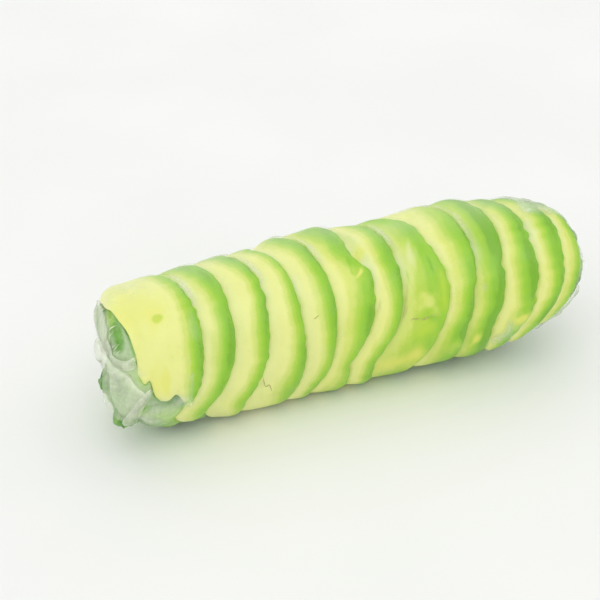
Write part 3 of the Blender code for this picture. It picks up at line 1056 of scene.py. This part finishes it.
# A place on an end is also given by where it lies from the pole, in run: how far to the front and how far up.
# Each flap of the paper lies between two lines of such places, in millimetres. Then come its height in the
# middle in millimetres, how milky it is there and at its free first line, and how far its last end is raised
# over the flap below.
LEFT_FLAPS = (
    (((-4.6, 7.8), (-1.2, 7.6), (1.2, 6.6), (2.2, 5.2), (2.9, 4.2), (2.6, 2.4)),
     ((-6.2, 6.0), (-4.8, 4.4), (-3.6, 2.8), (-2.8, 1.4), (-2.0, 0.4), (-1.0, -0.4)), 0.3, 0.50, 0.56, 0.0),
    (((2.2, 5.3), (3.1, 4.6), (4.7, 4.7), (6.7, 5.4), (8.5, 6.6), (10.4, 8.8)),
     ((1.4, 3.3), (3.2, 2.7), (5.1, 3.0), (7.4, 3.7), (9.4, 5.0), (11.4, 7.4)), 0.5, 0.45, 0.56, 0.0),
    (((-2.0, 2.2), (0.8, 2.8), (3.4, 3.3), (6.6, 3.9), (9.6, 3.9), (12.4, 3.2), (14.4, 2.4)),
     ((-2.8, -2.8), (0.4, -4.8), (3.6, -5.8), (7.0, -5.8), (9.8, -4.6), (12.2, -2.2), (14.2, 0.4)),
     2.3, 0.34, 0.54, 0.0),
    (((15.3, 3.8), (13.9, 2.9), (12.6, 1.7), (11.4, 0.2), (10.2, -1.8), (8.8, -3.6)),
     ((15.2, 1.4), (13.7, -0.4), (12.8, -2.2), (12.0, -4.0), (11.0, -5.2), (9.4, -5.9)),
     0.8, 0.44, 0.56, 1.7),
)
RIGHT_FLAPS = (
    (((-9.0, 6.0), (-5.0, 8.0), (0.0, 9.5), (6.0, 8.0), (9.5, 4.5), (11.0, -1.0)),
     ((-5.0, 1.0), (-3.0, 2.5), (0.0, 3.5), (3.0, 2.5), (4.5, 0.5), (5.0, -3.0)), 0.2, 0.36, 0.40, 0.0),
    (((12.0, -1.0), (11.0, -5.0), (8.0, -8.0), (3.0, -9.0), (-3.0, -8.5), (-8.0, -6.0)),
     ((5.0, 2.0), (4.0, -1.0), (2.0, -3.0), (0.0, -4.0), (-3.0, -3.5), (-6.0, -2.0)), 0.2, 0.36, 0.40, 0.0),
    (((22.0, -1.5), (22.5, -6.0), (23.5, -11.0), (24.0, -17.0), (26.0, -25.0)),
     ((14.0, -1.0), (13.0, -5.0), (12.5, -9.0), (11.0, -14.0), (12.0, -22.0)), 0.8, 0.42, 0.50, 0.0),
)

# Milky places on the paper: how milky, how unevenly, the size of the bumps in it, the centre as (run, angle),
# the half size along and round, a seed and how soft the edge is
MILKY = (
    (0.52, 0.10, 0.004, (-0.0690, -18), (0.0095, 0.0110), 67, 0.9),
    (0.42, 0.00, 0.004, (-0.0610, 8), (0.0036, 0.0120), 69, 1.2),
    (0.26, 0.00, 0.004, (-0.0562, 50), (0.0018, 0.0070), 76, 1.2),
    (0.64, 0.10, 0.003, (-0.0778, 31), (0.0070, 0.0056), 77, 0.9),
    (0.28, 0.00, 0.004, (0.0388, 26), (0.0022, 0.0062), 72, 1.0),
    (0.44, 0.00, 0.004, (0.0462, -20), (0.0068, 0.0085), 73, 1.0),
)


def paper_sheet(run, angle):
    """How deep the paper lies, stretched smooth over the food."""
    tight = cling_surface(run, angle) - CLING
    sheet = tight.copy()
    for _ in range(10):
        sheet = np.minimum(tight, blurred(sheet))
    return sheet


def over_slices(run, angle):
    """How milky the paper is where it clings to the slices."""
    # Over the top the paper is painted milkier, a painted sheen of the light from above, in the crescents and
    # all along the top.
    veil = 0.05 + (0.05 + 0.14 * step(angle, 42, 30)) * behind_rims(run, angle)
    return np.maximum(veil, step(angle, 64, 40) * (0.15 + 0.07 * uneven(70, 0.011, run, arc(angle))))


def over_leaf(run, angle, bare):
    """How milky the paper is where it clings to the leaf, bare being where no slice covers that."""
    wrinkle = np.abs(uneven(71, 0.010, run / 3, arc(angle)))
    milk = 0.08 * uneven(64, 0.012, run, arc(angle)) + 0.20 * smooth(1 - wrinkle / 0.10)
    return bare * (0.26 + milk * off_pole(run))


def paper_veil(run, angle):
    """How milky the paper looks."""
    left = step(run, first_edge(angle) + 0.0004, -0.0014)
    last = rim(LAST, angle) + (rim(LAST - 1, angle) - rim(LAST, angle)) * step(angle, 80, 12)
    right = step(run, last, 0.0020) * step(run, 0.056, 0.004)
    below = step(angle, 134, 16) + step(angle, -46, -14)
    veil = np.maximum(over_slices(run, angle), over_leaf(run, angle, np.clip(below + left + right, 0, 1)))
    veil = np.maximum(veil, 0.42 * left) * (1 - 0.9 * left * window(run, angle))
    for milk, change, size, centre, half, seed, soft in MILKY:
        milk = milk + change * uneven(seed + 1, size, run, arc(angle))
        veil = np.maximum(veil, milk * patch(run, angle, centre, half, seed, soft))
    under = step(above_bottom(run, angle), 0.0004, -0.0010) * step(run, -0.0635, -0.002)
    veil = np.maximum(veil, 0.42 * under * step(angle, -12, 12) * step(angle, 40, -8))
    film = step(run, 0.0570, 0.004) * step(angle, 71, 14) * step(angle, 140, -16)
    veil = np.maximum(veil, (0.56 + 0.08 * uneven(75, 0.004, run, arc(angle))) * film)
    return np.maximum(veil, (0.36 + 0.16 * step(run, last + 0.001, 0.006)) * right * step(angle, -44, 30))


def make_paper(material):
    """The main sheet of rice paper. It gives back what finds the sheet's depth at other places."""
    run, angle = full_grid(420, 236)
    veil = paper_veil(run, angle)
    ends = step(run, -0.066, -0.006) + step(run, 0.078, 0.006)
    crease = (0.00002 + 0.00006 * ends) * uneven(65, 0.0028, run, arc(angle)) * step(veil, 0.06, 0.15)
    seam = step(angle, SEAM - 4 * uneven(66, 0.03, run, 0.0), 0.7)
    seam = seam * step(angle, 262, -12) * step(np.abs(run), 0.085, -0.004)
    depth = paper_sheet(run, angle) + crease * off_pole(run) - SEAM_HEIGHT * seam
    lip = bell(seam, 0.5, 0.35) * step(angle, 180, 10) * step(angle, 250, -10)
    veil = np.maximum(veil, 0.45 * lip) + 0.08 * seam
    points = on_roll(run, angle, depth)
    points, faces = balloon(points, [points[0].mean(0), points[-1].mean(0)])
    glow = LEFT_GLOW + (RIGHT_GLOW - LEFT_GLOW) * step(run, 0.060, 0.015)
    values = {"veil": np.append(np.clip(veil, 0, 1).ravel(), (0.5, 0.5)),
              "glow": np.append(glow.ravel(), (LEFT_GLOW, RIGHT_GLOW))}
    make_piece("rice_paper_skin", points, faces, material, values, ("rice_paper",))
    return lambda at_run, at_angle: sampled(run[:, 0], depth, at_run, at_angle)


def sampled(runs, field, run, angle):
    """The field's value at other runs and angles."""
    rings, count = field.shape
    row = np.clip(np.interp(run, runs, np.arange(rings)), 0, rings - 1.001)
    column = ((angle + 90) % 360) * count / 360
    i, j = row.astype(int), column.astype(int) % count
    u, v = row - i, column - np.floor(column)
    k = (j + 1) % count
    near = field[i, j] * (1 - v) + field[i, k] * v
    far = field[i + 1, j] * (1 - v) + field[i + 1, k] * v
    return near * (1 - u) + far * u


FLAP_ROWS = 110
FLAP_COLUMNS = 44
FLAP_THICK = 0.0003
TUCK = 0.0034              # how much deeper it lies where it goes under the first slice
PLEAT = 0.00010            # how high a flap's pleat is
CURL = 0.00030             # how high its free edge curls


def flap(first, second, height, veil, edge_veil, raised, pole, paper_depth, seed):
    """Points, faces and veil of a flap of paper that lies on the main sheet between two lines."""
    along = np.linspace(0, 1, FLAP_ROWS)[:, None]
    across = spaced(FLAP_COLUMNS, 0.5)[None, :]
    narrow = np.maximum(1 - np.abs(2 * along - 1) ** 9, 0.0) ** 0.5 * 0.97 + 0.03
    share = 0.5 + (across - 0.5) * narrow
    one, other = drawn_out(first, 20, FLAP_ROWS)[:, None], drawn_out(second, 20, FLAP_ROWS)[:, None]
    front, up = (one[..., axis] * (1 - share) + other[..., axis] * share for axis in (0, 1))
    front = front + 0.10 * uneven(seed, 3.0, along * 12, across * 3)
    up = up + 0.10 * uneven(seed + 1, 3.0, along * 12, across * 3)
    run, angle = end_place(front, up, pole)
    rest = paper_depth(run, angle) + TUCK * step(reach_inside(1, run, angle), -0.0008, 0.0012)
    away = np.minimum(np.minimum(across, 1 - across) * 8, np.minimum(along, 1 - along) * 12)
    bulge = np.sin(math.pi * np.clip(share, 0, 1)) ** 0.7 * smooth(away)
    pleat = np.sin(2 * math.pi * share + 1.5 * uneven(seed + 2, 0.5, along, 0.0)) * smooth(away)
    lift = (height * bulge + raised * smooth(along)) * MM
    depth = rest - lift - PLEAT * pleat - CURL * bell(across, 0, 0.06) - 0.0002
    shell = smooth(away * 1.5) * FLAP_THICK / 2
    points, faces, inside = rolled_slab(run, angle, depth, shell)
    edges = bell(across, 0.06, 0.10) + 0.5 * bell(across, 0.94, 0.10)
    silk = uneven(seed + 3, 0.16, share + 0.04 * uneven(seed + 4, 0.5, along, 0.0), 0.1 * along)
    milk = veil + (edge_veil - veil) * edges + 0.04 * pleat + 0.05 * silk
    milk = np.clip(milk * smooth(away / 0.6) * (1 - 0.8 * window(run, angle)), 0, 1)
    return points, faces, np.concatenate([milk.ravel(), 0.1 * milk[inside]])


def make_flaps(name, flaps, pole, paper_depth, material):
    """All the flaps at one end, as one piece."""
    parts = [flap(*one, pole, paper_depth, 300 + 10 * i) for i, one in enumerate(flaps)]
    points, faces = joined([part[:2] for part in parts])
    values = {"veil": np.concatenate([part[2] for part in parts])}
    values["glow"] = np.full(len(points), LEFT_GLOW if pole < 0 else RIGHT_GLOW)
    return make_piece(name, points, faces, material, values, ("rice_paper",))


# Dark fibres on the flesh: the slice, the radius in millimetres, and places along it as (run in mm, angle)
FIBRES = (
    (4, 0.13, ((-35.9, -7), (-35.6, -14), (-34.9, -19), (-33.8, -18), (-32.8, -25), (-32.3, -21))),
    (5, 0.13, ((-18.1, 29.6), (-17.2, 30.4), (-16.3, 32.2))),
    (8, 0.12, ((13.6, 12.6), (14.6, 13.9), (15.4, 13.1), (16.6, 14.4))),
    (8, 0.17, ((17.1, 13.2), (18.0, 11.9), (18.9, 13.4), (19.6, 12.6))),
    (8, 0.13, ((20.3, 15.4), (21.2, 14.0), (21.9, 14.6), (22.6, 13.0))),
    (8, 0.10, ((14.3, 34), (13.9, 29), (13.3, 25), (12.4, 19.5), (11.2, 15.5))),
)


def make_fibres(material):
    """The few dark fibres that cross the flesh."""
    parts = []
    for number, radius, places in FIBRES:
        line = curve_through(places, 8)
        run, angle = line[:, 0] * MM, line[:, 1]
        depth = slice_face_depth(number, run, angle)
        parts.append(tube(on_roll(run, angle, depth), radius * MM, fade=0.25))
    points, faces = joined(parts)
    return make_piece("avocado_fibres", points, faces, material, {},
                      ("avocado_04", "avocado_05", "avocado_08"))


# The line along which the lettuce's frill comes out at the left end, as (front, up) in millimetres from the
# pole, and how many times it waves
FRILL_LINE = ((-3.6, -2.7), (-1.8, -4.6), (0.8, -5.8), (3.8, -6.2), (7.2, -6.0), (11.6, -4.9))
FRILL_WAVES = 5
FRILL_THICK = 0.00044
FRILL_ROWS = 170
FRILL_COLUMNS = 18


def make_frill(material):
    """The lettuce's frilly edge, which sticks out from under the paper low on the left end."""
    along = np.linspace(0, 1, FRILL_ROWS)[:, None]
    across = np.linspace(0, 1, FRILL_COLUMNS)[None, :]
    line = drawn_out(FRILL_LINE, 30, FRILL_ROWS)[:, None]
    fade = smooth(np.minimum(along, 1 - along) / 0.2)
    wave = np.sin(2 * math.pi * FRILL_WAVES * along + 1.6 * uneven(401, 0.25, along, 0.0))
    fine = uneven(402, 0.035, along, 0.0)
    ruffle = (0.34 * wave + 0.14 * fine) * across ** 1.5 * fade
    grow = 1 + 0.06 * across * fade
    run, angle = end_place(line[..., 0] * grow - 0.3 * ruffle, line[..., 1] * grow + ruffle, LEFT_POLE)
    reach = (0.0031 + 0.0006 * uneven(403, 0.16, along, 0.0)) * fade
    depth = 0.0016 - (reach + 0.0012) * across + 0.0002 * fine * across * fade
    away = np.minimum(np.minimum(across, 1 - across) * 6, np.minimum(along, 1 - along) * 20)
    shell = FRILL_THICK / 2 * smooth(away)
    points, faces, inside = rolled_slab(run, angle, depth, shell)
    values = {"vein": 0.5 * bell(wave, 0.9, 0.12) * (1 - across),
              "fold": 0.30 * across + 0.10 * wave * across}
    values = slab_values(values, inside)
    return make_piece("lettuce_frill", points, faces, material, values, ("lettuce",))


# ---- stage ----

VIEW_AZIMUTH = -19.9
VIEW_ELEVATION = 33.0
VIEW_DISTANCE = 0.433
LENS = 78.9
AIM = Vector((-0.0130, 0.0080, 0.0250))
FLOOR_SIZE = 3.0
SKY_STRENGTH = 0.66
# Each light: its azimuth and elevation, how widely its light is spread in degrees, and its strength
LIGHTS = {
    "key": (-30, 58, 55, 0.66),
    "left": (-100, 22, 60, 0.42),
    "fill": (60, 40, 70, 0.32),
    "back": (170, 45, 70, 0.34),
}


def direction(azimuth, elevation):
    """Towards a viewer at this azimuth, 0 being the front, and elevation."""
    turn, rise = math.radians(azimuth), math.radians(elevation)
    return Vector((math.sin(turn) * math.cos(rise), -math.cos(turn) * math.cos(rise), math.sin(rise)))


def aimed(data, aim, back, distance):
    """A camera or light, this far back from what it looks at."""
    made = bpy.data.objects.new(data.name, data)
    made.location = aim + back * distance
    made.rotation_euler = (-back).to_track_quat("-Z", "Y").to_euler()
    bpy.context.scene.collection.objects.link(made)
    return made


def make_camera():
    """The camera, looking down at the roll's front from the left."""
    data = bpy.data.cameras.new("camera")
    data.lens = LENS
    data.clip_start = 0.01
    data.clip_end = 10.0
    back = direction(VIEW_AZIMUTH, VIEW_ELEVATION)
    bpy.context.scene.camera = aimed(data, AIM, back, VIEW_DISTANCE)


def make_light(name, azimuth, elevation, width, strength):
    """A soft light from far off, so that the floor is lit evenly."""
    data = bpy.data.lights.new(name, "SUN")
    data.angle = math.radians(width)
    data.energy = strength
    aimed(data, Vector(), direction(azimuth, elevation), 1.0)


def make_stage():
    """The floor, the lights and the sky."""
    size = FLOOR_SIZE
    corners = [(-size, -size, 0.0), (size, -size, 0.0), (size, size, 0.0), (-size, size, 0.0)]
    mesh = bpy.data.meshes.new("floor")
    mesh.from_pydata(corners, [], [(0, 1, 2, 3)])
    mesh.materials.append(floor_material())
    floor = bpy.data.objects.new("floor", mesh)
    bpy.context.scene.collection.objects.link(floor)
    for name, numbers in LIGHTS.items():
        make_light(name, *numbers)
    world = bpy.data.worlds.new("studio")
    world.use_nodes = True
    sky = world.node_tree.nodes["Background"]
    sky.inputs["Color"].default_value = (1.0, 1.0, 1.0, 1.0)
    sky.inputs["Strength"].default_value = SKY_STRENGTH
    bpy.context.scene.world = world
    bpy.context.scene.view_settings.view_transform = "Standard"


def main():
    """Builds the stage and every piece."""
    make_camera()
    make_stage()
    avocado = avocado_material()
    for number in range(1, LAST + 1):
        make_slice(number, avocado)
    make_fibres(fibre_material())
    leaf = leaf_material()
    make_leaf(leaf)
    make_frill(leaf)
    make_noodles(noodle_material())
    paper = paper_material("rice_paper_clear")
    paper_depth = make_paper(paper)
    make_flaps("rice_paper_left_flaps", LEFT_FLAPS, LEFT_POLE, paper_depth, paper)
    make_flaps("rice_paper_right_flaps", RIGHT_FLAPS, RIGHT_POLE, paper_depth, paper)


main()
